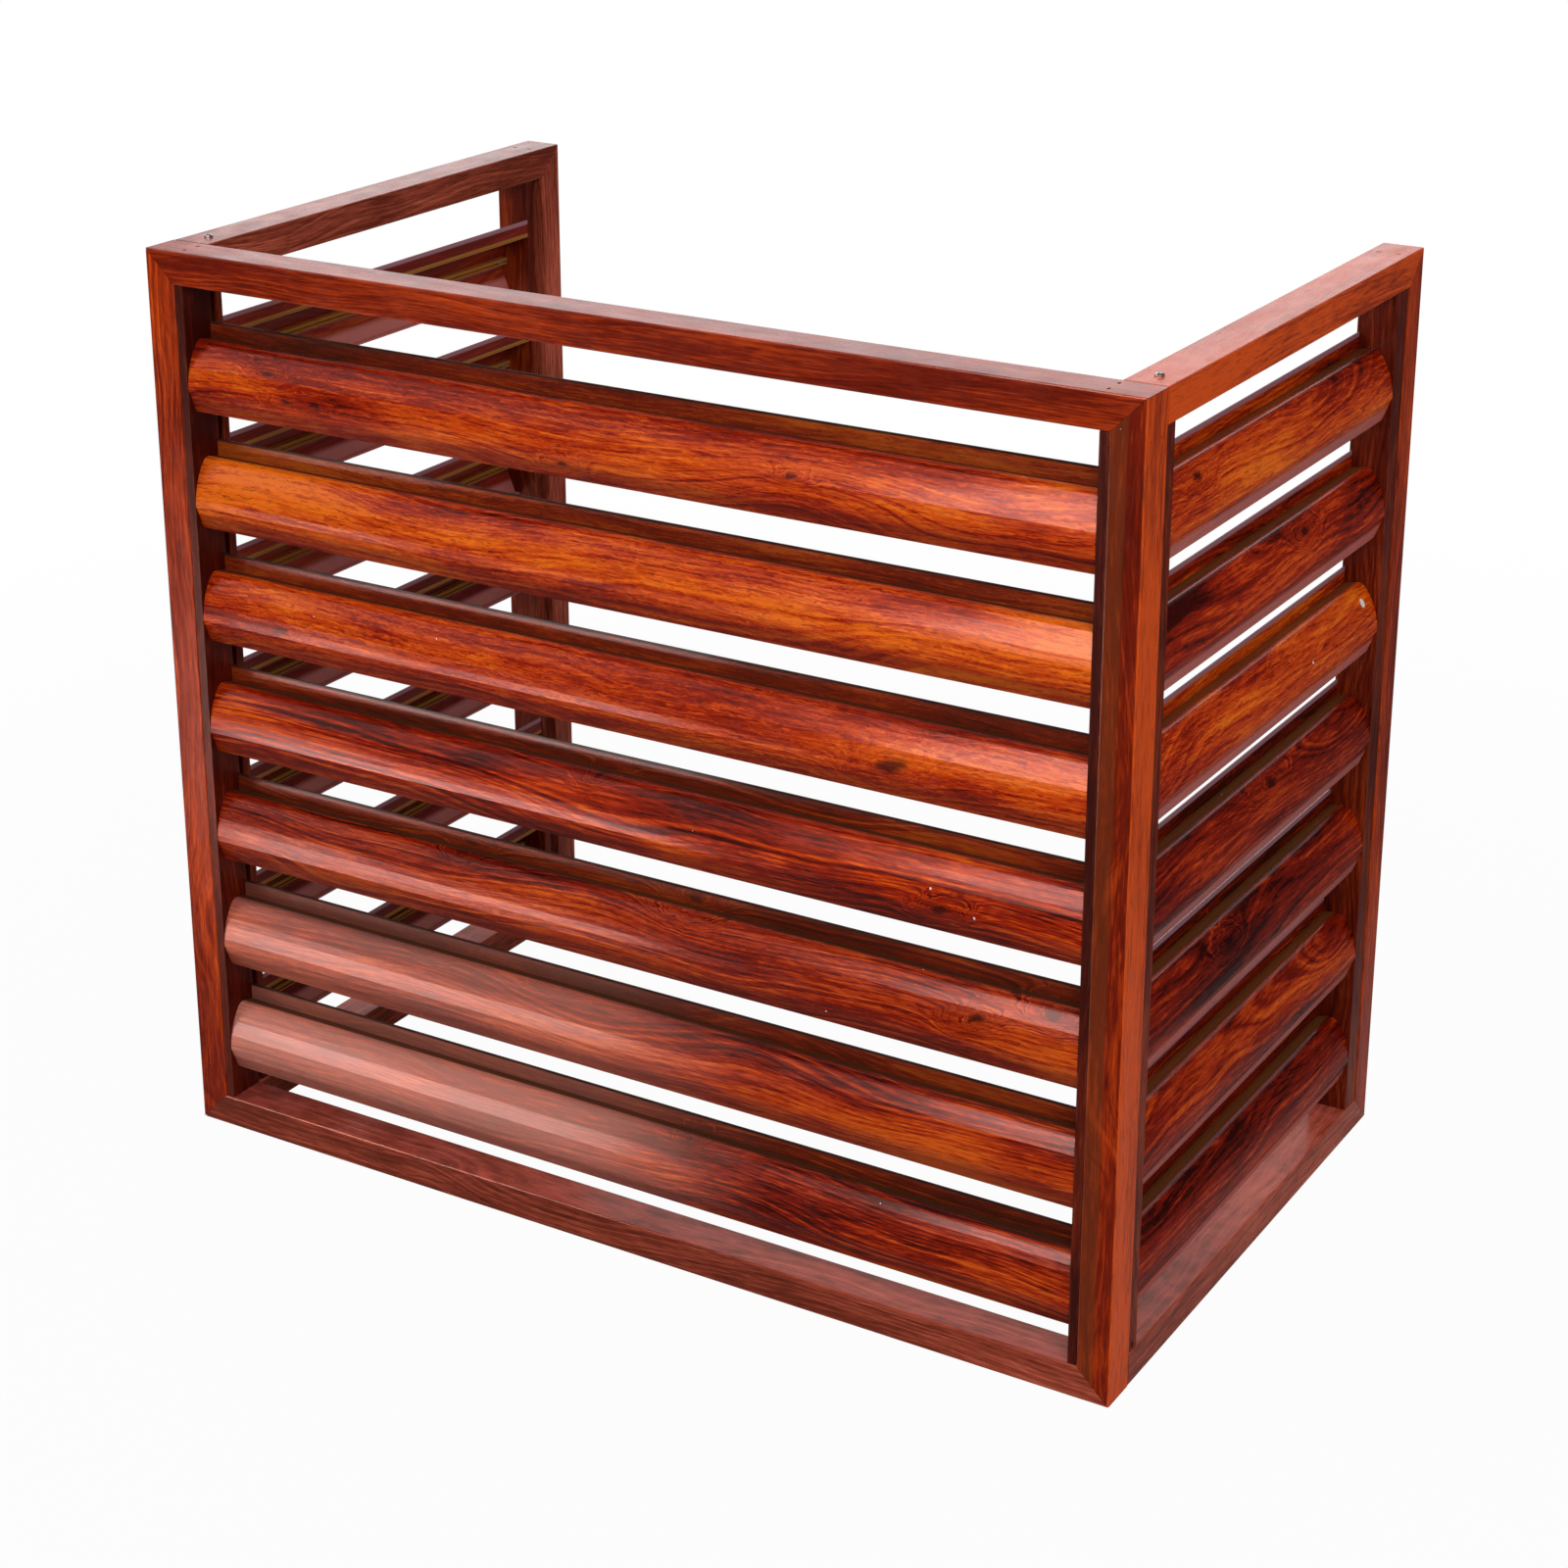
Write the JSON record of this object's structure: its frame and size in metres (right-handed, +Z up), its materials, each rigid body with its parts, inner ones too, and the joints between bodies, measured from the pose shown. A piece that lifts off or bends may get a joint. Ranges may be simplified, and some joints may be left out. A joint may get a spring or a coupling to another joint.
{
  "type": "air conditioner screen",
  "caption": "Free-standing three-sided louvre screen of mitred box-section frames and curved slats, open at the back, to stand round an outdoor unit.",
  "frame": {"origin": "on the ground, under the middle of the screen's outline, which is the bottom centre of its bounding box", "axes": "+X along the front panel towards its right end as seen from the front, +Y from the front panel to the open back, +Z up"},
  "size_m": [0.9, 0.54, 0.8026],
  "materials": {
    "frame": "gloss red-brown wood-grain print over extruded tube",
    "holder": "gloss dark red-brown wood-grain print over extruded channel",
    "slat": "high-gloss orange-red figured wood-grain print over extruded slat",
    "key": "die cast, bare",
    "screw": "bright plated"
  },
  "bodies": {
    "root": {"front_bottom_rail": "frame", "front_top_rail": "frame", "front_left_stile": "frame", "front_right_stile": "frame", "left_bottom_rail": "frame", "left_top_rail": "frame", "left_rear_stile": "frame", "right_bottom_rail": "frame", "right_top_rail": "frame", "right_rear_stile": "frame", "front_left_holder": "holder", "front_right_holder": "holder", "left_front_holder": "holder", "left_rear_holder": "holder", "right_front_holder": "holder", "right_rear_holder": "holder", "front_slat_1": "slat", "front_slat_2": "slat", "front_slat_3": "slat", "front_slat_4": "slat", "front_slat_5": "slat", "front_slat_6": "slat", "front_slat_7": "slat", "left_slat_1": "slat", "left_slat_2": "slat", "left_slat_3": "slat", "left_slat_4": "slat", "left_slat_5": "slat", "left_slat_6": "slat", "left_slat_7": "slat", "right_slat_1": "slat", "right_slat_2": "slat", "right_slat_3": "slat", "right_slat_4": "slat", "right_slat_5": "slat", "right_slat_6": "slat", "right_slat_7": "slat", "front_bottom_left_key": "key", "front_bottom_right_key": "key", "front_top_left_key": "key", "front_top_right_key": "key", "left_rear_bottom_key": "key", "left_rear_top_key": "key", "right_rear_bottom_key": "key", "right_rear_top_key": "key", "left_bottom_block": "key", "left_top_block": "key", "right_bottom_block": "key", "right_top_block": "key", "left_bottom_lock_screw": "screw", "left_top_lock_screw": "screw", "right_bottom_lock_screw": "screw", "right_top_lock_screw": "screw", "left_bottom_anchor_screw": "screw", "left_top_anchor_screw": "screw", "right_bottom_anchor_screw": "screw", "right_top_anchor_screw": "screw"}
  },
  "joints": []
}
